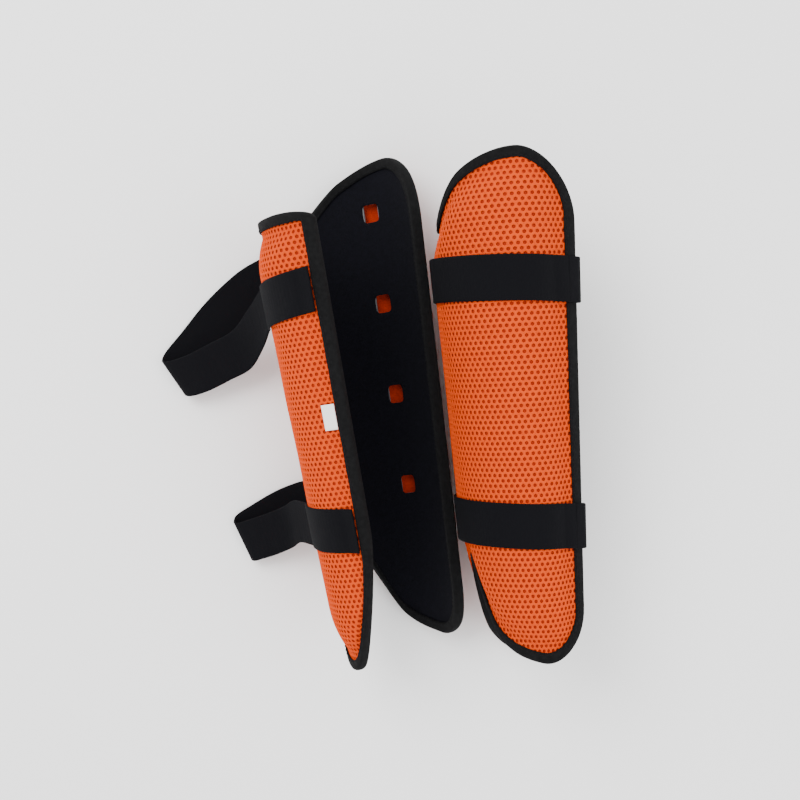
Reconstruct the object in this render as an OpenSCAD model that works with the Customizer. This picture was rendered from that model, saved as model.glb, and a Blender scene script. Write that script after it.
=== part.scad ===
// A pair of curled leg pads for kneeling and roofing work, lying side by side on a floor.
// Each pad lies on its outer face. The mouth of the left pad faces up and right, and the
// right pad lies on its side. The long sides run along Y, X is to the right and Z is up.

/* [Pad] */
// Length of a pad from its lowest to its highest tip
pad_length = 404; // [380:1:440]
// Radius of the curl's inner face, half way along the pad
curl_radius = 52; // [46:1:64]
// How much larger the curl's radius is at the top end than at the bottom end
curl_flare = 18; // [0:1:22]
// Angle that the pad curls through, from one long edge to the other
curl_angle = 248; // [220:1:254]

/* [Layers] */
// Thickness of the lining that touches the leg
lining_t = 1.2; // [0.8:0.1:2]
// Thickness of the stiff inner plate
plate_t = 1.6; // [1:0.1:2.5]
// Thickness of the foam where the edge binding grips it
foam_edge_t = 0.8; // [0.5:0.1:2]
// How much thicker the foam is in the middle of the pad
foam_swell = 8; // [4:0.5:10]
// Thickness of the spacer mesh cover
mesh_t = 3; // [2:0.5:4]

/* [Edge binding] */
// Thickness of the binding tape
tape_t = 1.2; // [0.8:0.1:1.6]
// How far the tape reaches in from the edge on both faces
tape_reach = 9; // [6:0.5:11]
// Gap between the tape and the layers that it wraps
tape_gap = 0.5; // [0.2:0.05:0.6]

/* [Straps] */
// Width of the elastic webbing
strap_w = 35; // [25:1:42]
// Thickness of the elastic webbing
strap_t = 1.8; // [1.2:0.1:2.2]
// Height of the upper strap's middle above the pad's lowest tip
upper_strap_h = 307; // [290:1:320]
// Height of the lower strap's middle above the pad's lowest tip
lower_strap_h = 118; // [112:1:140]
// How far the left upper strap slants down before it leaves the pad
upper_drop = 13; // [0:1:20]
// Gap between a strap and what it lies on
strap_gap = 0.6; // [0.4:0.1:0.8]
// Length of the hook tab on a strap's free end
tab_len = 28; // [16:1:32]
// Thickness of the hook tab
tab_t = 1.2; // [0.8:0.1:1.6]

/* [Vent windows] */
// Number of windows in each of the two columns
window_count = 4; // [2:1:4]
// Width of a window across the pad
window_w = 13; // [8:1:18]
// Height of a window along the pad
window_h = 15; // [8:1:20]
// Distance from one window's centre to the next
window_pitch = 76; // [40:1:78]
// Height of the lowest window's centre above the pad's lowest tip
window_start = 132; // [125:1:140]

/* [Size tag] */
// How far the sewn tag reaches in from the edge binding
tag_len = 9; // [6:1:20]
// Width of the tag along the edge
tag_w = 20; // [12:1:30]
// Thickness of the tag
tag_t = 0.5; // [0.4:0.1:1]

/* [Lie on the floor] */
// Distance between the two pads' axes, half way along
pads_apart = 127; // [125:1:200]
// Turn of the left pad about its own axis
left_roll = 40; // [30:1:50]
// Turn of the right pad about its own axis
right_roll = 93; // [80:1:100]
// Lean of the left pad in the plane of the floor
left_lean = 9; // [5:0.5:12]
// Lean of the right pad in the plane of the floor
right_lean = 3.5; // [0:0.5:5]

/* [Hidden] */

half_curl = curl_angle / 2;
half_arc = half_curl * PI / 180 * curl_radius;
flare_angle = atan(curl_flare / pad_length);

// The outline's ends at seven even steps across the pad, from the tall wing to the low wing
top_drops = [14, 1, 14, 48, 43, 42, 39];
bottom_rises = [5, 6, 25, 81, 17, 0, 50];
// Rounded corners of the outline: width, then height on the tall wing and on the low wing
corner_w = 40;
top_corner = [46, 12];
bottom_corner = [42, 64];

// The layers' faces above the lining's inner face
edge_stack = lining_t + foam_edge_t + mesh_t;
full_stack = edge_stack + foam_swell;
edge_middle = edge_stack / 2;
tape_inner = edge_stack / 2 + tape_gap;
tape_outer = tape_inner + tape_t;
sheet_inset = tape_t + 4 * tape_gap;
swell_start = tape_reach + 5;
swell_run = 30;
plate_gap = 0.2;
plate_skip = [5, 3];

columns = 24;
rows = 14;
row_depth = [0, 5, swell_start - 1, 20, 31];
end_stations = 26;
side_stations = 10;
strap_step = 9;
strap_bow = 7;
hinge_gap = 1;
fabric_gap = 0.05;
window_side = 0.52;
// Moves the pair, so that its bounding box stands with its bottom centre on the origin
pair_x = 68.3;
pair_y = 0;
pair_up = -0.5;

function clamp(x) = max(0, min(1, x));
function ease(x) = 1 - pow(1 - clamp(x), 2);
function lerp(a, b, t) = a + (b - a) * t;
function unit(v) = v / norm(v);
function rim_s(e) = 1 - e / half_arc;

// A smooth line through the values of list v, at s from -1 to 1
function through(v, s) =
    let (
        last = len(v) - 1,
        t = clamp((s + 1) / 2) * last,
        i = min(floor(t), last - 1),
        f = t - i,
        b = v[i],
        c = v[i + 1],
        a = i > 0 ? v[i - 1] : 2 * b - c,
        e = i < last - 1 ? v[i + 2] : 2 * c - b
    )
    (2 * b + (c - a) * f + (2 * a - 5 * b + 4 * c - e) * f * f
        + (3 * b - a - 3 * c + e) * f * f * f) / 2;

// Height of the outline at s across the pad, drawn in by inset; corner is the rounding's height
function corner_cut(s, inset, corner) =
    let (q = clamp((abs(s) * half_arc - half_arc + corner_w) / (corner_w - inset)))
    (corner - inset) * (1 - sqrt(1 - q * q));
function top_at(s, inset) =
    pad_length - through(top_drops, s) - inset
        - corner_cut(s, inset, top_corner[s < 0 ? 0 : 1]);
function bottom_at(s, inset) =
    through(bottom_rises, s) + inset
        + corner_cut(s, inset, bottom_corner[s < 0 ? 0 : 1]);

// A point of the pad: s across, z above the lowest tip, h outwards from the lining's inner face
function radius_at(z) = curl_radius + curl_flare * (z / pad_length - 0.5);
function curled(s, z, h) =
    [
        -(radius_at(z) + h) * sin(half_curl * s),
        (radius_at(z) + h) * cos(half_curl * s),
        z - pad_length / 2
    ];

// Where a pad's own point lies on the floor. side is -1 for the left pad and 1 for the right
function pad_x(side) = pair_x + side * pads_apart / 2;
function roll_of(side) = side < 0 ? left_roll : right_roll;
function lean_of(side) = side < 0 ? left_lean : right_lean;
function axis_height(side) =
    (curl_radius + full_stack + (side < 0 ? 0 : strap_gap + strap_t)) / cos(flare_angle) + pair_up;
function turned(x, y, a) = [x * cos(a) - y * sin(a), x * sin(a) + y * cos(a)];
function placed(p, side) =
    let (
        roll = turned(-side * p[0], p[1], roll_of(side)),
        tilt = turned(p[2], -roll[1], flare_angle),
        lean = turned(roll[0], tilt[0], lean_of(side))
    )
    [lean[0] + pad_x(side), lean[1] + pair_y, tilt[1] + axis_height(side)];
module place(side) {
    translate([pad_x(side), pair_y, axis_height(side)])
        rotate([0, 0, lean_of(side)])
            rotate([flare_angle, 0, 0])
                rotate([-90, 0, 0])
                    rotate([0, 0, roll_of(side)])
                        mirror([side < 0 ? 0 : 1, 0, 0])
                            children();
}

// The sheets share one grid of columns and rows, so that their faces meet without a sliver
function column_s(i) = sin(90 * (2 * i / columns - 1)) * (1 - sheet_inset / half_arc);
function grid_z(i, j) =
    let (
        s = column_s(i),
        low = bottom_at(s, sheet_inset),
        high = top_at(s, sheet_inset),
        last = len(row_depth) - 1,
        k = min(j, rows - j),
        deep = row_depth[last]
    )
    k >= last ? lerp(low + deep, high - deep, (j - last) / (rows - 2 * last))
        : j < rows / 2 ? low + row_depth[k]
        : high - row_depth[k];
function grid_edge(i, j) =
    let (
        s = column_s(i),
        z = grid_z(i, j),
        end = min(z - bottom_at(s, sheet_inset), top_at(s, sheet_inset) - z)
    )
    min((1 - abs(s)) * half_arc, end);

// Quads of a grid of n by m points, starting at index first; turn them over with flip
function grid_faces(n, m, first, flip) =
    [
        for (i = [0 : n - 2], j = [0 : m - 2], k = [0, 1])
            let (
                a = first + i * m + j,
                tri = k == 0 ? [a, a + m, a + m + 1] : [a, a + m + 1, a + 1]
            )
            flip ? [tri[2], tri[1], tri[0]] : tri
    ];
function rim_faces(loop, shift) =
    [
        for (i = [0 : len(loop) - 1], k = [0, 1])
            let (a = loop[i], b = loop[(i + 1) % len(loop)])
            k == 0 ? [a, b, b + shift] : [a, b + shift, a + shift]
    ];

// A curled sheet between two faces, given as functions of the distance from the edge
module sheet(inner, outer, skip = [0, 0]) {
    n = columns + 1 - 2 * skip[0];
    m = rows + 1 - 2 * skip[1];
    face = function(f) [
        for (i = [skip[0] : columns - skip[0]], j = [skip[1] : rows - skip[1]])
            curled(column_s(i), grid_z(i, j), f(grid_edge(i, j)))
    ];
    loop = concat(
        [for (i = [0 : n - 1]) i * m],
        [for (j = [1 : m - 1]) (n - 1) * m + j],
        [for (i = [n - 2 : -1 : 0]) i * m + m - 1],
        [for (j = [m - 2 : -1 : 1]) j]
    );
    polyhedron(
        concat(face(inner), face(outer)),
        concat(
            grid_faces(n, m, 0, true),
            grid_faces(n, m, n * m, false),
            rim_faces(loop, n * m)
        )
    );
}

// A closed skin over rings of points; round = true joins the last ring to the first
module skin(rings, round = false) {
    m = len(rings[0]);
    n = len(rings);
    points = [for (r = rings, p = r) p];
    sides = [
        for (i = [0 : (round ? n - 1 : n - 2)], j = [0 : m - 1], k = [0, 1])
            let (
                a = i * m + j,
                b = i * m + (j + 1) % m,
                c = ((i + 1) % n) * m + j,
                d = ((i + 1) % n) * m + (j + 1) % m
            )
            k == 0 ? [a, b, d] : [a, d, c]
    ];
    ends = round ? [] : [
        [for (j = [m - 1 : -1 : 0]) j],
        [for (j = [0 : m - 1]) (n - 1) * m + j]
    ];
    polyhedron(points, concat(sides, ends));
}

function plate_room(e) = (plate_t + 2 * plate_gap) * ease((e - swell_start) / 4);
function cover_face(e) = foam_face(e) + mesh_t;
function foam_face(e) =
    lining_t + foam_edge_t + foam_swell * ease((e - swell_start) / swell_run);

module windows() {
    for (column = [-1, 1], i = [0 : window_count - 1])
        rotate([0, 0, column * window_side * half_curl])
            translate([0, curl_radius, window_start + i * window_pitch - pad_length / 2])
                cube([window_w, 2 * (curl_flare + full_stack), window_h], center = true);
}
module lining() {
    difference() {
        sheet(function(e) 0, function(e) lining_t);
        windows();
    }
}
module stiffener_plate() {
    difference() {
        sheet(
            function(e) lining_t + plate_gap,
            function(e) lining_t + plate_gap + plate_t,
            plate_skip
        );
        windows();
    }
}
module foam_core() {
    difference() {
        sheet(function(e) lining_t + plate_room(e), function(e) foam_face(e));
        windows();
    }
}
module mesh_cover() {
    sheet(function(e) foam_face(e), function(e) cover_face(e));
}

// The binding tape is a U that runs all round the outline
function tape_profile() =
    [
        [0, edge_middle - tape_outer / 2],
        [tape_t, edge_middle - tape_outer],
        [tape_reach, edge_middle - tape_outer],
        [tape_reach, edge_middle - tape_inner],
        [tape_t, edge_middle - tape_inner],
        [tape_t, edge_middle + tape_inner],
        [tape_reach, edge_middle + tape_inner],
        [tape_reach, edge_middle + tape_outer],
        [tape_t, edge_middle + tape_outer],
        [0, edge_middle + tape_outer / 2]
    ];
function end_point(w, inset, h, upper) =
    let (s = sin(90 * w) * (1 - inset / half_arc))
    curled(s, upper ? top_at(s, inset) : bottom_at(s, inset), h);
function side_point(w, t, inset, h) =
    let (s = w * (1 - inset / half_arc))
    curled(s, lerp(bottom_at(s, inset), top_at(s, inset), t), h);
function tape_ring(f) = [for (p = tape_profile()) f(p[0], p[1])];
module edge_binding() {
    up = [
        for (i = [0 : end_stations])
            tape_ring(function(d, h) end_point(2 * i / end_stations - 1, d, h, false))
    ];
    low_side = [
        for (i = [1 : side_stations - 1])
            tape_ring(function(d, h) side_point(1, i / side_stations, d, h))
    ];
    back = [
        for (i = [end_stations : -1 : 0])
            tape_ring(function(d, h) end_point(2 * i / end_stations - 1, d, h, true))
    ];
    tall_side = [
        for (i = [side_stations - 1 : -1 : 1])
            tape_ring(function(d, h) side_point(-1, i / side_stations, d, h))
    ];
    skin(concat(up, low_side, back, tall_side), round = true);
}

// A strap lies on the cover and clears the binding tape; e is the distance from the long edge
function strap_z(s, height) = height - strap_bow * s * s;
function strap_face(e) = max(edge_middle + tape_outer, cover_face(e)) + strap_gap;
function across_ring(s, middle, width, low, high) =
    [
        curled(s, middle - width / 2, low),
        curled(s, middle + width / 2, low),
        curled(s, middle + width / 2, high),
        curled(s, middle - width / 2, high)
    ];
function steps(a, b) =
    let (n = max(2, ceil(abs(b - a) * half_arc / strap_step)))
    [for (i = [0 : n]) lerp(a, b, i / n)];
strap_start = rim_s(tape_reach + strap_gap);
function run_z(s, height, drop) =
    strap_z(s, height) - drop * clamp((strap_start - s) / (strap_start - leave_s));
function webbing_at(s, height, drop) =
    let (low = strap_face((1 - abs(s)) * half_arc))
    across_ring(s, run_z(s, height, drop), strap_w, low, low + strap_t);
module strap_run(height, last, drop = 0) {
    skin([for (s = steps(strap_start, last)) webbing_at(s, height, drop)]);
}

// Left pad: the run stops at the pad's left side, where the loose loop swings from it
leave_s = (90 - left_roll) / half_curl;
leave_low = strap_face((1 - leave_s) * half_arc);
function loop_start(height, s, drop) =
    let (middle = run_z(leave_s, height, drop))
    placed(curled(s, middle, leave_low + strap_gap / 2 + strap_t / 2), -1) - [pad_x(-1), pair_y, 0];
pad_axis = unit(placed([0, 0, 1], -1) - placed([0, 0, 0], -1));

// Loop points from the left pad's middle on the floor, each with the webbing's own direction
upper_loop = [
    [[-94, 64, 47], [-0.33, 0.94, 0.02]],
    [[-107, 48, 31], [-0.43, 0.9, 0]],
    [[-126, 38, 24], [-0.49, 0.87, 0]],
    [[-147, 28, 19], [-0.52, 0.85, 0]],
    [[-164, 24, 13], [-0.56, 0.83, 0]],
    [[-165, 31, 5], [-0.6, 0.8, 0]],
    [[-149, 51, 2.6], [-0.68, 0.73, 0]],
    [[-129, 76, 2.6], [-0.66, 0.75, 0]],
    [[-106, 98, 3.5], [-0.55, 0.83, 0]],
    [[-90, 108, 5.5], [-0.4, 0.92, 0]],
    [[-78, 113, 9], [-0.25, 0.97, 0]]
];
lower_loop = [
    [[-60, -93, 42], [-0.16, 0.99, 0.03]],
    [[-69, -99, 27], [-0.22, 0.98, 0.02]],
    [[-82, -105, 20], [-0.3, 0.95, 0]],
    [[-96, -110, 15], [-0.36, 0.93, 0]],
    [[-107, -113, 10], [-0.42, 0.91, 0]],
    [[-107, -107, 4], [-0.46, 0.89, 0]],
    [[-92, -97, 2.6], [-0.52, 0.85, 0]],
    [[-75, -87, 3], [-0.42, 0.91, 0]],
    [[-61, -81, 5], [-0.3, 0.95, 0]],
    [[-51, -78, 8], [-0.2, 0.98, 0]]
];
loop_fill = 2;
function spread(v, t) =
    [through([for (p = v) p[0]], t), through([for (p = v) p[1]], t), through([for (p = v) p[2]], t)];
function loop_path(loop, height, drop) =
    let (
        first = loop_start(height, leave_s - hinge_gap / half_arc, drop),
        all = concat([[first, pad_axis]], loop),
        n = (len(all) - 1) * loop_fill
    )
    [
        for (i = [0 : n])
            [
                spread([for (p = all) p[0]], 2 * i / n - 1),
                unit(spread([for (p = all) p[1]], 2 * i / n - 1))
            ]
    ];
function loop_side(path, i) =
    let (
        a = path[max(0, i - 1)][0],
        b = path[min(len(path) - 1, i + 1)][0]
    )
    unit(cross(path[i][1], b - a));
function loop_ring(path, i, width, low, high) =
    let (p = path[i][0], wide = path[i][1] * width / 2, up = loop_side(path, i))
    [
        p - wide + up * low,
        p + wide + up * low,
        p + wide + up * high,
        p - wide + up * high
    ];
module loop_band(loop, height, drop, low, high, last) {
    path = loop_path(loop, height, drop);
    n = len(path);
    translate([pad_x(-1), pair_y, 0])
        skin([for (i = [max(0, n - last) : n - 1]) loop_ring(path, i, strap_w, low, high)]);
}
module strap_loop(loop, height, drop = 0) {
    loop_band(loop, height, drop, -strap_t / 2, strap_t / 2, 99);
}
tab_steps = ceil(tab_len / 8);
module loop_tab(loop, height, drop = 0) {
    low = strap_t / 2 + fabric_gap;
    loop_band(loop, height, drop, low, low + tab_t, tab_steps);
}

// Right pad: the run reaches the far edge, and the end wraps over the binding into the pad
outer_low = edge_middle + tape_outer + strap_gap;
inner_low = edge_middle - tape_outer - strap_gap - tape_gap;
hinge_e = 1;
wrap_out = 0.6;
wrap_path = [
    [[hinge_e - hinge_gap / 2, outer_low], [hinge_e - hinge_gap / 2, outer_low + strap_t]],
    [[-0.3, outer_low - 0.7], [-1.3, outer_low + 0.8]],
    [[-wrap_out, edge_middle + 2.1], [-wrap_out - strap_t, edge_middle + 2.9]],
    [[-wrap_out, edge_middle], [-wrap_out - strap_t, edge_middle]],
    [[-wrap_out, edge_middle - 2.1], [-wrap_out - strap_t, edge_middle - 2.9]],
    [[-0.3, inner_low + 0.9], [-1.3, inner_low - 0.9]],
    [[hinge_e, inner_low], [hinge_e, inner_low - strap_t]]
];
tuck_start = tape_reach + 2;
tuck_steps = 4;
function tuck_e(i) = tuck_start + tab_len * i / tuck_steps;
function edge_ring(pair, height) =
    [
        for (k = [[0, -1], [0, 1], [1, 1], [1, -1]])
            let (s = -rim_s(pair[k[0]][0]))
            curled(s, strap_z(-1, height) + k[1] * strap_w / 2, pair[k[0]][1])
    ];
module strap_wrap(height) {
    tuck = [
        for (i = [0 : tuck_steps])
            [[tuck_e(i), inner_low], [tuck_e(i), inner_low - strap_t]]
    ];
    skin([for (pair = concat(wrap_path, tuck)) edge_ring(pair, height)]);
}
module wrap_tab(height) {
    low = inner_low + fabric_gap;
    skin([
        for (i = [0 : tuck_steps])
            edge_ring([[tuck_e(i), low + tab_t], [tuck_e(i), low]], height)
    ]);
}

// The size tag lies on the near edge's outside, half way along the left pad
tag_z = pad_length * 0.5;
module size_tag() {
    skin([
        for (i = [0 : 2])
            let (
                e = tape_reach + strap_gap + tag_len * i / 2,
                low = cover_face(e) + strap_gap
            )
            across_ring(rim_s(e), tag_z, tag_w, low, low + tag_t)
    ]);
}

module left_lining() {
    color([0.10, 0.11, 0.14])
        place(-1) lining();
}
module left_stiffener_plate() {
    color([0.30, 0.31, 0.33])
        place(-1) stiffener_plate();
}
module left_foam_core() {
    color([0.92, 0.45, 0.20])
        place(-1) foam_core();
}
module left_mesh_cover() {
    color([1.00, 0.42, 0.12])
        place(-1) mesh_cover();
}
module left_edge_binding() {
    color([0.07, 0.07, 0.08])
        place(-1) edge_binding();
}
module left_upper_strap() {
    color([0.09, 0.09, 0.12])
        place(-1) strap_run(upper_strap_h, leave_s, upper_drop);
}
module left_lower_strap() {
    color([0.09, 0.09, 0.12])
        place(-1) strap_run(lower_strap_h, leave_s);
}
module left_upper_strap_end() {
    color([0.09, 0.09, 0.12])
        strap_loop(upper_loop, upper_strap_h, upper_drop);
}
module left_lower_strap_end() {
    color([0.09, 0.09, 0.12])
        strap_loop(lower_loop, lower_strap_h);
}
module left_upper_hook_tab() {
    color([0.16, 0.16, 0.18])
        loop_tab(upper_loop, upper_strap_h, upper_drop);
}
module left_lower_hook_tab() {
    color([0.16, 0.16, 0.18])
        loop_tab(lower_loop, lower_strap_h);
}
module left_size_tag() {
    color([0.93, 0.93, 0.91])
        place(-1) size_tag();
}
module right_lining() {
    color([0.10, 0.11, 0.14])
        place(1) lining();
}
module right_stiffener_plate() {
    color([0.30, 0.31, 0.33])
        place(1) stiffener_plate();
}
module right_foam_core() {
    color([0.92, 0.45, 0.20])
        place(1) foam_core();
}
module right_mesh_cover() {
    color([1.00, 0.42, 0.12])
        place(1) mesh_cover();
}
module right_edge_binding() {
    color([0.07, 0.07, 0.08])
        place(1) edge_binding();
}
module right_upper_strap() {
    color([0.09, 0.09, 0.12])
        place(1) strap_run(upper_strap_h, -rim_s(hinge_e + hinge_gap / 2));
}
module right_lower_strap() {
    color([0.09, 0.09, 0.12])
        place(1) strap_run(lower_strap_h, -rim_s(hinge_e + hinge_gap / 2));
}
module right_upper_strap_end() {
    color([0.09, 0.09, 0.12])
        place(1) strap_wrap(upper_strap_h);
}
module right_lower_strap_end() {
    color([0.09, 0.09, 0.12])
        place(1) strap_wrap(lower_strap_h);
}
module right_upper_hook_tab() {
    color([0.16, 0.16, 0.18])
        place(1) wrap_tab(upper_strap_h);
}
module right_lower_hook_tab() {
    color([0.16, 0.16, 0.18])
        place(1) wrap_tab(lower_strap_h);
}

left_lining();
left_stiffener_plate();
left_foam_core();
left_mesh_cover();
left_edge_binding();
left_upper_strap();
left_lower_strap();
left_upper_strap_end();
left_lower_strap_end();
left_upper_hook_tab();
left_lower_hook_tab();
left_size_tag();
right_lining();
right_stiffener_plate();
right_foam_core();
right_mesh_cover();
right_edge_binding();
right_upper_strap();
right_lower_strap();
right_upper_strap_end();
right_lower_strap_end();
right_upper_hook_tab();
right_lower_hook_tab();
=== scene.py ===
import math

import bmesh
import bpy
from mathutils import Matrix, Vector, noise


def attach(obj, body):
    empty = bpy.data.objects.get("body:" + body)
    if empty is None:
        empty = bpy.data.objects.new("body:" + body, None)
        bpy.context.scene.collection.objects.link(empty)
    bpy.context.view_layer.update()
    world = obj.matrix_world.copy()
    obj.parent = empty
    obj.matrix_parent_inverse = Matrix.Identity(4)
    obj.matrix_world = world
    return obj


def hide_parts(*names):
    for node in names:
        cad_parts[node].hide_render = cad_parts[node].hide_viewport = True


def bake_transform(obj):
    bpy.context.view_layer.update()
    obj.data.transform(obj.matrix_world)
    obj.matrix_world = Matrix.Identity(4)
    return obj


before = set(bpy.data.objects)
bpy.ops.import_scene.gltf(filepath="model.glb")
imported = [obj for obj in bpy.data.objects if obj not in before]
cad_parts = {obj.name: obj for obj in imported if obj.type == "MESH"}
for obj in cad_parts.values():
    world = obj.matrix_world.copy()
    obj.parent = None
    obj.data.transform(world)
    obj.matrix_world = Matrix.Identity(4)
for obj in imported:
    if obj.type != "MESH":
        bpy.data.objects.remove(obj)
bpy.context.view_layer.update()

# Sizes of the pads, in millimetres, as in the part
R, FLARE, CURL, LENGTH = 52.0, 18.0, 248.0, 404.0
LINING, FOAM_EDGE, SWELL, MESH, PLATE = 1.2, 0.8, 8.0, 3.0, 1.6
TAPE, REACH, GAP = 1.2, 9.0, 0.5
STRAP_W, STRAP_T, STRAP_GAP, TAB, TAB_T, BOW = 35.0, 1.8, 0.6, 28.0, 1.2, 7.0
HEIGHTS = {"upper": 307.0, "lower": 118.0}
DROPS = {"upper": 13.0, "lower": 0.0}
HALF = CURL / 2
ARC = math.radians(HALF) * R
EDGE = LINING + FOAM_EDGE + MESH
FULL = EDGE + SWELL
TAPE_OUT = EDGE / 2 + GAP + TAPE
TILT = math.atan(FLARE / LENGTH)
PAIR_X, PAIR_UP, APART = 68.3, -0.5, 127.0
ROLL = {-1: 40.0, 1: 93.0}
LEAN = {-1: 9.0, 1: 3.5}
SWELL_START, SWELL_RUN = REACH + 5, 30
# Heights of the two ends across the pad, and how deep each corner is rounded
TOPS = [14, 1, 14, 48, 43, 42, 39]
BOTTOMS = [5, 6, 25, 81, 17, 0, 50]
CORNER_W = 40
TOP_CORNER = {-1: 46, 1: 12}
BOTTOM_CORNER = {-1: 42, 1: 64}
# Vent windows
WINDOW_SIDE, WINDOW_W, WINDOW_H = 0.52, 13.0, 15.0
WINDOW_COUNT, WINDOW_START, WINDOW_PITCH = 4, 132, 76
WINDOW_SQUARE, WINDOW_POINTS, WINDOW_IN, WINDOW_OUT = 0.45, 24, -8.0, 7.5
# Orange mesh: distance between holes, size of a hole, bevel, yarn depth and clearance from the edge
MESH_PITCH, HOLE_R, HOLE_BEVEL, YARN_DEPTH, MESH_INSET = 4.7, 1.42, 0.45, 0.9, 5.0
# Sewing: distance from the edge, stitch length, distance from stitch to stitch and thread radius
SEAM_IN, STITCH, STITCH_PITCH, THREAD_R = 7.2, 2.4, 3.8, 0.32
# Padding and lining: how far in from the edge they end, and how far the padding is below the mesh
SHEET_INSET, UNDER_MESH = 2.3, 1.25
# Soft unevenness of the padding: width and height of its waves
CREASE, CREASE_DEPTH = 34, 0.7
# Hook tabs, tag and how far the webbing overlaps itself at a left hinge
TAB_W, TAB_LIFT, TAB_START = 33.0, 0.12, 0.82
TAG_W, TAG_H, TAG_T, TAG_LIFT, TAG_BOW = 9, 20, 0.5, 0.9, 0.5
HINGE_LAP = 0.6

# Where the straps start, and where the left ones leave the pad
STRAP_START = 1 - (REACH + STRAP_GAP) / ARC
LEAVE = (90 - ROLL[-1]) / HALF


# The pad's shape
def clamp(x):
    return max(0.0, min(1.0, x))


def ease(x):
    return 1 - (1 - clamp(x)) ** 2


def through(v, s):
    """A smooth curve through evenly spaced values, for s from -1 to 1."""
    last = len(v) - 1
    t = clamp((s + 1) / 2) * last
    i = min(int(t), last - 1)
    f = t - i
    b, c = v[i], v[i + 1]
    a = v[i - 1] if i > 0 else 2 * b - c
    e = v[i + 2] if i < last - 1 else 2 * c - b
    return (2 * b + (c - a) * f + (2 * a - 5 * b + 4 * c - e) * f * f
            + (3 * b - a - 3 * c + e) * f ** 3) / 2


def cut(s, inset, corner):
    """How much a rounded corner takes off an end at s."""
    q = clamp((abs(s) * ARC - ARC + CORNER_W) / (CORNER_W - inset))
    return (corner - inset) * (1 - math.sqrt(1 - q * q))


def top_at(s, inset=0.0):
    return LENGTH - through(TOPS, s) - inset - cut(s, inset, TOP_CORNER[-1 if s < 0 else 1])


def bottom_at(s, inset=0.0):
    return through(BOTTOMS, s) + inset + cut(s, inset, BOTTOM_CORNER[-1 if s < 0 else 1])


def turned(x, y, a):
    return x * math.cos(a) - y * math.sin(a), x * math.sin(a) + y * math.cos(a)


def at(side, s, z, h):
    """A point of a pad: s across, z above its lowest tip, h out from the lining's inner face."""
    r = R + FLARE * (z / LENGTH - 0.5) + h
    a = math.radians(HALF * s)
    x, y = turned(side * r * math.sin(a), r * math.cos(a), math.radians(ROLL[side]))
    v, w = turned(z - LENGTH / 2, -y, TILT)
    x, v = turned(x, v, math.radians(LEAN[side]))
    lift = (R + FULL + (0 if side < 0 else STRAP_GAP + STRAP_T)) / math.cos(TILT) + PAIR_UP
    return Vector((x + PAIR_X + side * APART / 2, v, w + lift)) / 1000


def edge_of(s, z):
    """Distance to the nearest edge, measured across or along the pad."""
    return min((1 - abs(s)) * ARC, z - bottom_at(s), top_at(s) - z)


def slant(line, s):
    run = 0.02 * ARC
    return 1 / math.hypot(1, (line(s + 0.01) - line(s - 0.01)) / run)


def true_edge(s, z):
    """Distance to the nearest edge, measured square to a slanted end."""
    return min((1 - abs(s)) * ARC,
               (z - bottom_at(s)) * slant(bottom_at, s),
               (top_at(s) - z) * slant(top_at, s))


def foam_face(e):
    return LINING + FOAM_EDGE + SWELL * ease((e - SWELL_START) / SWELL_RUN)


def cover_face(e):
    return foam_face(e) + MESH


def soft(side, s, z, size, tall):
    """Soft unevenness of padding, the same on every run."""
    p = Vector((s * ARC / size, z / size / 1.6, side * 7.3))
    return tall * noise.noise(p)


# Materials
def material(name, color, rough=0.8, sheen=0.0, bump=0.0, scale=900.0, weave=None, tint=None):
    m = bpy.data.materials.new(name)
    m.use_nodes = True
    tree = m.node_tree
    b = tree.nodes["Principled BSDF"]
    b.inputs["Base Color"].default_value = (*color, 1)
    b.inputs["Roughness"].default_value = rough
    if "Sheen Weight" in b.inputs:
        b.inputs["Sheen Weight"].default_value = sheen
        b.inputs["Sheen Roughness"].default_value = 0.5
    if "Specular IOR Level" in b.inputs:
        b.inputs["Specular IOR Level"].default_value = 0.12
    coord = tree.nodes.new("ShaderNodeTexCoord")
    source = None
    if weave:
        tex = tree.nodes.new("ShaderNodeTexWave")
        tex.inputs["Scale"].default_value = weave
        tex.inputs["Distortion"].default_value = 1.5
        tex.inputs["Detail"].default_value = 2
        tree.links.new(coord.outputs["Object"], tex.inputs["Vector"])
        source = tex.outputs["Fac"]
    elif bump:
        tex = tree.nodes.new("ShaderNodeTexNoise")
        tex.inputs["Scale"].default_value = scale
        tex.inputs["Detail"].default_value = 4
        tree.links.new(coord.outputs["Object"], tex.inputs["Vector"])
        source = tex.outputs["Fac"]
    if source:
        node = tree.nodes.new("ShaderNodeBump")
        node.inputs["Strength"].default_value = bump
        node.inputs["Distance"].default_value = 0.0006
        tree.links.new(source, node.inputs["Height"])
        tree.links.new(node.outputs["Normal"], b.inputs["Normal"])
    if tint:
        tex = tree.nodes.new("ShaderNodeTexNoise")
        tex.inputs["Scale"].default_value = 260
        tex.inputs["Detail"].default_value = 3
        ramp = tree.nodes.new("ShaderNodeMix")
        ramp.data_type = "RGBA"
        ramp.inputs[6].default_value = (*color, 1)
        ramp.inputs[7].default_value = (*tint, 1)
        tree.links.new(coord.outputs["Object"], tex.inputs["Vector"])
        tree.links.new(tex.outputs["Fac"], ramp.inputs[0])
        tree.links.new(ramp.outputs[2], b.inputs["Base Color"])
    return m


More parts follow.
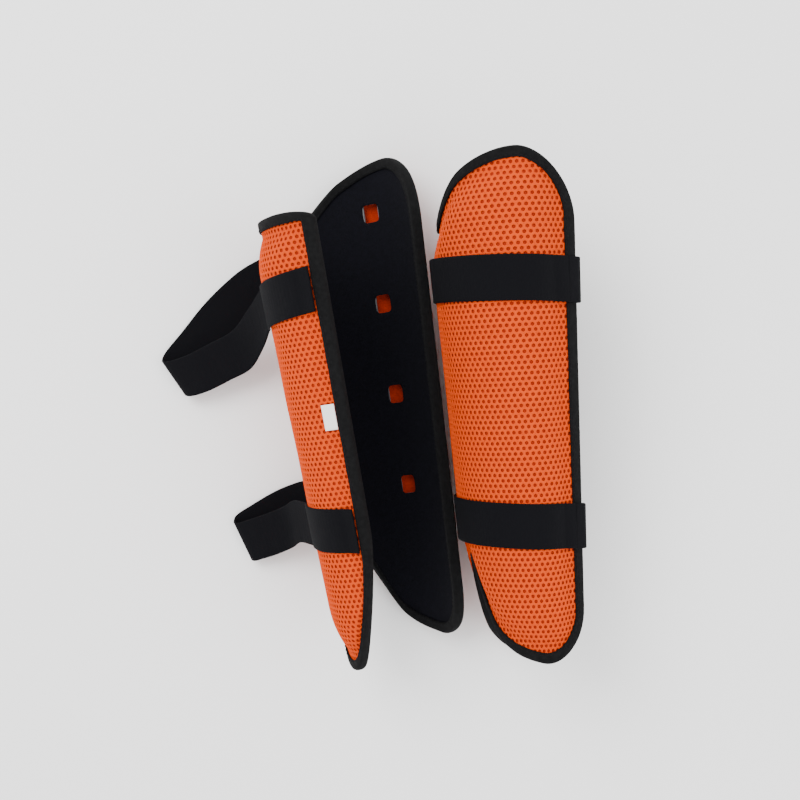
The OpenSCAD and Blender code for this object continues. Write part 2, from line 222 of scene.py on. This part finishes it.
orange = material("orange_mesh_yarn", (0.50, 0.038, 0.0), rough=0.85, bump=0.5, scale=1500,
                  tint=(0.62, 0.060, 0.0005))
# Padding: its own darker red-orange, made darker still as painted shade for the walls of the vent windows
spacer_and_painted_shade = material("spacer_layer_and_painted_shade", (0.20, 0.010, 0.002), rough=0.95, bump=0.8, scale=900,
                tint=(0.34, 0.022, 0.003))
dark = material("lining_knit", (0.0012, 0.0012, 0.0022), rough=0.95, bump=0.7, scale=1400,
                tint=(0.003, 0.003, 0.006))
black = material("binding_weave", (0.001, 0.001, 0.0012), rough=0.9, bump=0.9, weave=900,
                 tint=(0.012, 0.012, 0.013))
web = material("webbing_weave", (0.0014, 0.0014, 0.0026), rough=0.9, bump=0.4, weave=700)
hook = material("hook_tape", (0.004, 0.004, 0.005), rough=0.95, bump=1.0, scale=1800)
thread = material("thread", (0.006, 0.006, 0.007))
white = material("tag_cloth", (0.82, 0.82, 0.80), rough=0.85, sheen=0.1, bump=0.4, scale=1500)
floor_paint = material("floor_paint", (0.96, 0.96, 0.96))


# Building meshes
def build(name, verts, faces, mat, smooth=True):
    mesh = bpy.data.meshes.new(name)
    mesh.from_pydata([tuple(v) for v in verts], [], faces)
    mesh.validate()
    mesh.update()
    obj = bpy.data.objects.new(name, mesh)
    bpy.context.scene.collection.objects.link(obj)
    mesh.materials.append(mat)
    for p in mesh.polygons:
        p.use_smooth = smooth
    return obj


def rings_mesh(name, rings, mat, round_path=False):
    """A solid skinned over rings, which closes on itself or has its two ends capped."""
    m, n = len(rings[0]), len(rings)
    verts = [p for r in rings for p in r]
    faces = []
    for i in range(n if round_path else n - 1):
        k = (i + 1) % n
        for j in range(m):
            t = (j + 1) % m
            faces.append((i * m + j, i * m + t, k * m + t, k * m + j))
    if not round_path:
        faces.append(tuple(range(m - 1, -1, -1)))
        faces.append(tuple((n - 1) * m + j for j in range(m)))
    return outward(build(name, verts, faces, mat))


def outward(obj):
    bm = bmesh.new()
    bm.from_mesh(obj.data)
    bmesh.ops.recalc_face_normals(bm, faces=bm.faces)
    bm.to_mesh(obj.data)
    bm.free()
    return obj


def applied(obj):
    """Turn what the modifiers make into the mesh itself."""
    bpy.context.view_layer.update()
    done = bpy.data.meshes.new_from_object(obj.evaluated_get(bpy.context.evaluated_depsgraph_get()))
    obj.modifiers.clear()
    obj.data = done
    for p in done.polygons:
        p.use_smooth = True


def sheet_mesh(name, side, inner, outer, inset, mat, n=84, m=96):
    """A closed layer between two faces, each given as a height at (s, z, distance from the edge)."""
    def s_of(i):
        w = 2 * i / n - 1
        return (0.6 * math.sin(math.pi / 2 * w) + 0.4 * w) * (1 - inset / ARC)

    def z_of(s, j):
        v = j / m
        v = 0.55 * (1 - math.cos(math.pi * v)) / 2 + 0.45 * v
        lo, hi = bottom_at(s, inset), top_at(s, inset)
        return lo + (hi - lo) * v

    verts = []
    for face in (inner, outer):
        for i in range(n + 1):
            s = s_of(i)
            for j in range(m + 1):
                z = z_of(s, j)
                verts.append(at(side, s, z, face(s, z, max(0.0, edge_of(s, z)))))
    k = (n + 1) * (m + 1)
    q = m + 1
    faces = []
    for i in range(n):
        for j in range(m):
            a = i * q + j
            faces.append((a, a + 1, a + q + 1, a + q))
            faces.append((k + a, k + a + q, k + a + q + 1, k + a + 1))
    loop = ([i * q for i in range(n + 1)] + [n * q + j for j in range(1, m + 1)]
            + [i * q + m for i in range(n - 1, -1, -1)] + [j for j in range(m - 1, 0, -1)])
    for i, a in enumerate(loop):
        b = loop[(i + 1) % len(loop)]
        faces.append((a, b, b + k, a + k))
    return outward(build(name, verts, faces, mat))


def window_cutter(side):
    """Bars with rounded square ends, which reach from inside the lining into the padding."""
    verts, faces = [], []
    for column in (-WINDOW_SIDE, WINDOW_SIDE):
        for i in range(WINDOW_COUNT):
            first = len(verts)
            ring = []
            for t in range(WINDOW_POINTS):
                a = 2 * math.pi * t / WINDOW_POINTS
                c, d = math.cos(a), math.sin(a)
                ring.append((WINDOW_W / 2 * math.copysign(abs(c) ** WINDOW_SQUARE, c),
                             WINDOW_H / 2 * math.copysign(abs(d) ** WINDOW_SQUARE, d)))
            for h in (WINDOW_IN, WINDOW_OUT):
                for u, v in ring:
                    verts.append(at(side, column + u / ARC, WINDOW_START + WINDOW_PITCH * i + v, h))
            far = first + WINDOW_POINTS
            for t in range(WINDOW_POINTS):
                w = (t + 1) % WINDOW_POINTS
                faces.append((first + t, first + w, far + w, far + t))
            faces.append(tuple(first + t for t in reversed(range(WINDOW_POINTS))))
            faces.append(tuple(far + t for t in range(WINDOW_POINTS)))
    return outward(build("cutter", verts, faces, dark, False))


def cut_windows(obj, cutter):
    mod = obj.modifiers.new("windows", "BOOLEAN")
    mod.operation = "DIFFERENCE"
    mod.solver = "EXACT"
    mod.object = cutter
    applied(obj)


def mesh_skin(name, side):
    """The orange mesh is one sheet of yarn with staggered six-sided holes."""
    pitch = MESH_PITCH
    step_s = pitch / (math.radians(HALF) * (R + FULL))
    step_z = pitch * 0.866
    cells, keys, verts, faces = [], {}, [], []

    def vert(u, v, deep_by):
        key = (round(u, 3), round(v, 3), round(deep_by, 2))
        if key not in keys:
            s, z = u * step_s / pitch, v
            keys[key] = len(verts)
            h = cover_face(max(0.0, edge_of(s, z))) - deep_by + soft(side, s, z, CREASE, CREASE_DEPTH)
            verts.append(at(side, s, z, h))
        return keys[key]

    for j in range(int(LENGTH / step_z) + 1):
        z = j * step_z
        for i in range(-42, 43):
            u = pitch * (i + (0.5 if j % 2 else 0.0))
            s = u * step_s / pitch
            if abs(s) < 1 and true_edge(s, z) > MESH_INSET:
                cells.append((u, z))
    corner = pitch / math.sqrt(3)
    for u, z in cells:
        outer, inner = [], []
        for t in range(6):
            a = math.radians(60 * t + 30)
            outer.append(vert(u + corner * math.cos(a), z + corner * math.sin(a), 0.0))
            inner.append(vert(u + HOLE_R * math.cos(a), z + HOLE_R * math.sin(a), HOLE_BEVEL))
        for t in range(6):
            w = (t + 1) % 6
            quad = (outer[t], outer[w], inner[w], inner[t])
            faces.append(quad if side < 0 else quad[::-1])
    obj = build(name, verts, faces, orange)
    mod = obj.modifiers.new("thick", "SOLIDIFY")
    mod.thickness = YARN_DEPTH / 1000
    mod.offset = -1
    applied(obj)
    return outward(obj)


def tape_path(end_stations=150, side_stations=110):
    """Stations once round the edge, each as which edge it is on and how far along."""
    path = []
    for i in range(end_stations):
        path.append(("low", 2 * i / end_stations - 1))
    for i in range(side_stations):
        path.append(("right", i / side_stations))
    for i in range(end_stations):
        path.append(("high", 1 - 2 * i / end_stations))
    for i in range(side_stations):
        path.append(("left", 1 - i / side_stations))
    return path


def tape_point(side, station, inset, h):
    """The point at a station, so far in from the edge and so high above the lining."""
    kind, w = station
    if kind in ("low", "high"):
        s = math.sin(math.pi / 2 * w) * (1 - inset / ARC)
        return at(side, s, bottom_at(s, inset) if kind == "low" else top_at(s, inset), h)
    s = (1 if kind == "right" else -1) * (1 - inset / ARC)
    lo, hi = bottom_at(s, inset), top_at(s, inset)
    return at(side, s, lo + (hi - lo) * w, h)


def binding(name, side):
    """The edge tape: one folded profile carried once round the pad, a little uneven."""
    mid = EDGE / 2
    out = TAPE_OUT
    inn = EDGE / 2 + 0.25
    prof = [(0.0, -1.2), (0.35, -2.6), (1.1, -out + 0.45), (2.4, -out), (5.5, -out), (8.5, -out),
            (REACH, -out + 0.3), (REACH, -inn), (5.0, -inn), (TAPE + 0.2, -inn), (TAPE, 0.0),
            (TAPE + 0.2, inn), (5.0, inn), (REACH, inn), (REACH, out - 0.3), (8.5, out), (5.5, out),
            (2.4, out), (1.1, out - 0.45), (0.35, 2.6), (0.0, 1.2)]
    rings = []
    path = tape_path()
    for k, st in enumerate(path):
        a = 2 * math.pi * k / len(path)
        p = Vector((math.cos(a) * 14, math.sin(a) * 14, side * 3.0))
        wave = 0.35 * noise.noise(p)
        ripple = 0.12 * math.sin(k * 2.1)
        ring = []
        for d, h in prof:
            grow = 1 + (0.05 * (wave + ripple) if abs(h) > inn else 0)
            reach = d + (wave if d >= 8 else 0)
            ring.append(tape_point(side, st, reach, mid + h * grow))
        rings.append(ring)
    return rings_mesh(name, rings, black, round_path=True)


def stitches(name, side):
    """Short thread stitches along both faces of the binding."""
    verts, faces = [], []
    path = tape_path(900, 600)
    for h in (EDGE / 2 + TAPE_OUT + 0.12, EDGE / 2 - TAPE_OUT - 0.12):
        points = [tape_point(side, st, SEAM_IN, h) for st in path]
        fence = 0.0
        travel = 0.0
        for k in range(1, len(points)):
            travel += (points[k] - points[k - 1]).length * 1000
            if travel >= fence:
                end = k
                while end + 1 < len(points) and (points[end] - points[k]).length * 1000 < STITCH:
                    end += 1
                a, b = points[k], points[end]
                if (b - a).length < 0.0008:
                    continue
                way = (b - a).normalized()
                up = (tape_point(side, path[k], SEAM_IN, h + 1) - points[k]).normalized()
                wide = way.cross(up).normalized()
                first = len(verts)
                for p, g in ((a, 0.4), ((a * 3 + b) / 4, 1.0), ((a + b * 3) / 4, 1.0), (b, 0.4)):
                    for t in range(6):
                        ang = math.pi * t / 3
                        verts.append(p + (wide * math.cos(ang) + up * math.sin(ang)) * THREAD_R / 1000 * g)
                for i in range(3):
                    for t in range(6):
                        w = (t + 1) % 6
                        faces.append((first + i * 6 + t, first + i * 6 + w,
                                      first + i * 6 + 6 + w, first + i * 6 + 6 + t))
                faces.append(tuple(first + t for t in range(5, -1, -1)))
                faces.append(tuple(first + 18 + t for t in range(6)))
                fence = travel + STITCH_PITCH
    return outward(build(name, verts, faces, thread))


# The straps
def band_profile(width, thick, n=16):
    """Cross-section of a band with softened edges."""
    e = thick * 0.35
    pts = [(-width / 2 + e, 0.0)]
    for i in range(1, n):
        pts.append((-width / 2 + e + (width - 2 * e) * i / n, 0.0))
    pts += [(width / 2 - e, 0.0), (width / 2, thick * 0.4), (width / 2, thick * 0.6), (width / 2 - e, thick)]
    for i in range(1, n):
        pts.append((width / 2 - e - (width - 2 * e) * i / n, thick))
    pts += [(-width / 2 + e, thick), (-width / 2, thick * 0.6), (-width / 2, thick * 0.4)]
    return pts


def strap_z(s, height):
    return height - BOW * s * s


def strap_low(e):
    return max(EDGE / 2 + TAPE_OUT, cover_face(e)) + STRAP_GAP


def rib(k, v, thick):
    """The webbing's fine cross ribs, on both its faces."""
    return (0.04 if v > thick / 2 else -0.04) * math.sin(k * math.pi / 2)


def run_z(s, height, drop):
    return strap_z(s, height) - drop * clamp((STRAP_START - s) / (STRAP_START - LEAVE))


def strap_ring(side, s, height, k, drop=0.0):
    e = (1 - abs(s)) * ARC
    ring = []
    for u, v in band_profile(STRAP_W, STRAP_T):
        wave = 0.25 * noise.noise(Vector((k * 0.04, u * 0.05, side)))
        h = strap_low(e) + v + wave * clamp(v / STRAP_T + 0.2) + rib(k, v, STRAP_T)
        ring.append(at(side, s, run_z(s, height, drop) + u, h))
    return ring


# The left loops, as in the part: points and the webbing's direction across
UPPER = [((-94, 64, 47), (-0.33, 0.94, 0.02)), ((-107, 48, 31), (-0.43, 0.9, 0)),
         ((-126, 38, 24), (-0.49, 0.87, 0)), ((-147, 28, 19), (-0.52, 0.85, 0)),
         ((-164, 24, 13), (-0.56, 0.83, 0)), ((-165, 31, 5), (-0.6, 0.8, 0)),
         ((-149, 51, 2.6), (-0.68, 0.73, 0)), ((-129, 76, 2.6), (-0.66, 0.75, 0)),
         ((-106, 98, 3.5), (-0.55, 0.83, 0)), ((-90, 108, 5.5), (-0.4, 0.92, 0)),
         ((-78, 113, 9), (-0.25, 0.97, 0))]
LOWER = [((-60, -93, 42), (-0.16, 0.99, 0.03)), ((-69, -99, 27), (-0.22, 0.98, 0.02)),
         ((-82, -105, 20), (-0.3, 0.95, 0)), ((-96, -110, 15), (-0.36, 0.93, 0)),
         ((-107, -113, 10), (-0.42, 0.91, 0)), ((-107, -107, 4), (-0.46, 0.89, 0)),
         ((-92, -97, 2.6), (-0.52, 0.85, 0)), ((-75, -87, 3), (-0.42, 0.91, 0)),
         ((-61, -81, 5), (-0.3, 0.95, 0)), ((-51, -78, 8), (-0.2, 0.98, 0))]


def loop_rings(which, width, low_t, high_t, first=0.0, first_rib=0):
    height = HEIGHTS[which]
    base = Vector((PAIR_X - APART / 2, 0, 0)) / 1000
    s0 = LEAVE - HINGE_LAP / ARC
    start = at(-1, s0, run_z(LEAVE, height, DROPS[which]), FULL + STRAP_GAP + STRAP_T / 2 + 0.1)
    axis = (at(-1, 0, 10, 0) - at(-1, 0, 0, 0)).normalized()
    points = [(start, axis)]
    for p, a in (UPPER if which == "upper" else LOWER):
        points.append((Vector(p) / 1000 + base, Vector(a).normalized()))
    n = 200
    path = []
    for i in range(n + 1):
        t = 2 * i / n - 1
        path.append((Vector([through([q[0][c] for q in points], t) for c in range(3)]),
                     Vector([through([q[1][c] for q in points], t) for c in range(3)]).normalized()))
    rings = []
    for i, (p, wide) in enumerate(path):
        if i / n < first:
            continue
        a, b = path[max(0, i - 1)][0], path[min(n, i + 1)][0]
        up = wide.cross(b - a).normalized()
        ring = []
        for u, v in band_profile(width, high_t - low_t):
            h = low_t + v + rib(i + first_rib, v, high_t - low_t)
            ring.append(p + (wide * u + up * h) / 1000)
        rings.append(ring)
    return rings


def left_strap(which):
    """One ribbon from the binding across the pad and round the loose loop, and its hook tab."""
    height = HEIGHTS[which]
    n = 90
    step = (LEAVE + HINGE_LAP / ARC - STRAP_START) / n
    rings = [strap_ring(-1, STRAP_START + step * i, height, i, DROPS[which]) for i in range(n + 1)]
    rings += loop_rings(which, STRAP_W, -STRAP_T / 2, STRAP_T / 2, 0.0, n)[1:]
    obj = rings_mesh(f"left_{which}_webbing", rings, web)
    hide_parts(f"left_{which}_strap", f"left_{which}_strap_end")
    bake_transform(obj)
    rings = loop_rings(which, TAB_W, STRAP_T / 2 + TAB_LIFT, STRAP_T / 2 + TAB_T, TAB_START)
    tab = rings_mesh(f"left_{which}_hook", rings, hook)
    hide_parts(f"left_{which}_hook_tab")
    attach(tab, f"left_{which}_loop")


# Heights of the webbing's nearer face over the binding, outside and inside the pad
OUT_LOW = EDGE / 2 + TAPE_OUT + STRAP_GAP
IN_LOW = EDGE / 2 - TAPE_OUT - STRAP_GAP - GAP


def right_strap(which):
    """A run across the pad, an end wrapped over the far edge, and a hook tab inside."""
    height = HEIGHTS[which]
    n = 420
    step = (-(1 - 8 / ARC) - STRAP_START) / n
    rings = [strap_ring(1, STRAP_START + step * i, height, i) for i in range(n + 1)]
    run = rings_mesh(f"right_{which}_webbing", rings, web)
    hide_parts(f"right_{which}_strap")
    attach(run, "pads")
    mid = EDGE / 2
    # From the run over the edge and into the pad: in from the edge and height, for both faces
    keys = [((8, OUT_LOW), (8, OUT_LOW + STRAP_T)), ((1, OUT_LOW), (1, OUT_LOW + STRAP_T)),
            ((-0.3, OUT_LOW - 0.7), (-1.3, OUT_LOW + 0.8)), ((-0.6, mid + 2.1), (-2.4, mid + 2.9)),
            ((-0.6, mid), (-2.4, mid)), ((-0.6, mid - 2.1), (-2.4, mid - 2.9)),
            ((-0.3, IN_LOW + 0.9), (-1.3, IN_LOW - 0.9)), ((1, IN_LOW), (1, IN_LOW - STRAP_T)),
            ((11, IN_LOW), (11, IN_LOW - STRAP_T)), ((25, IN_LOW), (25, IN_LOW - STRAP_T)),
            ((39, IN_LOW), (39, IN_LOW - STRAP_T))]
    rings = []
    steps = 10
    total = (len(keys) - 1) * steps
    for i in range(total + 1):
        k = min(i // steps, len(keys) - 2)
        f = i / steps - k
        pair = []
        for c in range(2):
            a, b = keys[k][c], keys[k + 1][c]
            pair.append((a[0] + (b[0] - a[0]) * f, a[1] + (b[1] - a[1]) * f))
        ring = []
        for u, v in band_profile(STRAP_W, STRAP_T):
            g = v / STRAP_T
            e = pair[0][0] + (pair[1][0] - pair[0][0]) * g
            h = pair[0][1] + (pair[1][1] - pair[0][1]) * g
            s = -(1 - e / ARC)
            zz = strap_z(min(1.0, abs(s)), height)
            ring.append(at(1, s, zz + u, h))
        rings.append(ring)
    end = rings_mesh(f"right_{which}_wrapped_end", rings, web)
    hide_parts(f"right_{which}_strap_end")
    a = at(1, -1, strap_z(1, height), 6.6)
    b = at(1, -1, strap_z(1, height), 2.0)
    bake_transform(end)
    rings = []
    for i in range(31):
        e = REACH + 2 + TAB * i / 30
        ring = []
        for u, v in band_profile(TAB_W, 1.05):
            ring.append(at(1, -(1 - e / ARC), strap_z(1, height) + u, IN_LOW + TAB_LIFT + v))
        rings.append(ring)
    tab = rings_mesh(f"right_{which}_hook", rings, hook)
    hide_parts(f"right_{which}_hook_tab")
    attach(tab, f"right_{which}_wrap")


def plate_room(e):
    """Room for the stiffener plate, which thins out towards the edge."""
    return (PLATE + 0.5) * ease((e - 12) / 6)


# The two pads and their straps
for side, word in ((-1, "left"), (1, "right")):
    pad = sheet_mesh(f"{word}_padding", side,
                     lambda s, z, e: LINING + 0.15 + plate_room(e),
                     lambda s, z, e: cover_face(e) - UNDER_MESH + soft(side, s, z, CREASE, CREASE_DEPTH),
                     SHEET_INSET, spacer_and_painted_shade)
    skin = mesh_skin(f"{word}_mesh_skin", side)
    lining = sheet_mesh(f"{word}_lining_fabric", side,
                        lambda s, z, e: 0.25 + (soft(side, s, z, 22, 0.55) if e > 10 else 0.0),
                        lambda s, z, e: LINING, SHEET_INSET, dark)
    cutter = window_cutter(side)
    cut_windows(pad, cutter)
    cut_windows(lining, cutter)
    bpy.data.objects.remove(cutter)
    tape = binding(f"{word}_binding", side)
    sewing = stitches(f"{word}_stitching", side)
    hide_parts(f"{word}_foam_core")
    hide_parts(f"{word}_mesh_cover")
    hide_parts(f"{word}_lining")
    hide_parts(f"{word}_edge_binding")
    for obj in (pad, skin, lining, tape, sewing):
        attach(obj, "pads")
for which in ("upper", "lower"):
    left_strap(which)
    right_strap(which)

# The blank tag, which bows a little off the cover
tag_rings = []
for i in range(21):
    e = REACH + STRAP_GAP + TAG_W * i / 20
    ring = []
    for u, v in band_profile(TAG_H, TAG_T, 8):
        h = cover_face(e) + TAG_LIFT + v + TAG_BOW * math.sin(math.pi * i / 20)
        ring.append(at(-1, 1 - e / ARC, LENGTH / 2 + u, h))
    tag_rings.append(ring)
tag = rings_mesh("left_tag_cloth", tag_rings, white)
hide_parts("left_size_tag")
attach(tag, "pads")

# Floor, light and camera
bpy.ops.mesh.primitive_plane_add(size=12, location=(0, 0, -0.0006))
floor = bpy.context.object
floor.name = "floor"
floor.data.materials.append(floor_paint)
world = bpy.data.worlds.new("studio")
bpy.context.scene.world = world
world.use_nodes = True
world.node_tree.nodes["Background"].inputs["Color"].default_value = (1, 1, 1, 1)
world.node_tree.nodes["Background"].inputs["Strength"].default_value = 1.7


def area(name, where, size, power):
    lamp = bpy.data.lights.new(name, "AREA")
    lamp.energy = power
    lamp.size = size
    obj = bpy.data.objects.new(name, lamp)
    obj.location = where
    obj.rotation_euler = (-Vector(where)).to_track_quat("-Z", "Y").to_euler()
    bpy.context.scene.collection.objects.link(obj)


area("key", (-0.9, 0.9, 1.7), 1.2, 40)
area("fill", (1.3, -0.5, 1.3), 1.5, 16)
cam_data = bpy.data.cameras.new("camera")
cam_data.sensor_width = 36
cam_data.lens = 62.6
camera = bpy.data.objects.new("camera", cam_data)
camera.location = (0.0285, 0.0063, 1.1805)
bpy.context.scene.collection.objects.link(camera)
bpy.context.scene.camera = camera

bpy.context.view_layer.update()
